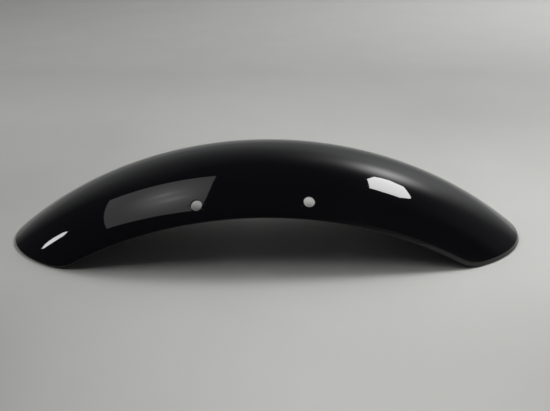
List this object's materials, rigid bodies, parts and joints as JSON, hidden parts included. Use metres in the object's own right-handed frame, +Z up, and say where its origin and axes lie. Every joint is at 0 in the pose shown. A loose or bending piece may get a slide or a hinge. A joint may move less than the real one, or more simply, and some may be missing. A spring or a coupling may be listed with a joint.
{
  "type": "motorcycle front mudguard",
  "caption": "Short arched front mudguard of gloss black sheet steel, with a rolled edge all round and bolt holes on both sides for the fork legs.",
  "frame": {"origin": "under the middle of the shell, on the plane that both ends stand on", "axes": "+X from the front tip to the rear tip, +Y to the right-hand side of the motorcycle, +Z up through the crown"},
  "size_m": [0.455, 0.137, 0.0838],
  "materials": {
    "black_paint": "gloss black paint, smooth, on the outside, the inside and the rolled edge"
  },
  "bodies": {
    "root": {"mudguard": "black_paint"}
  },
  "joints": []
}
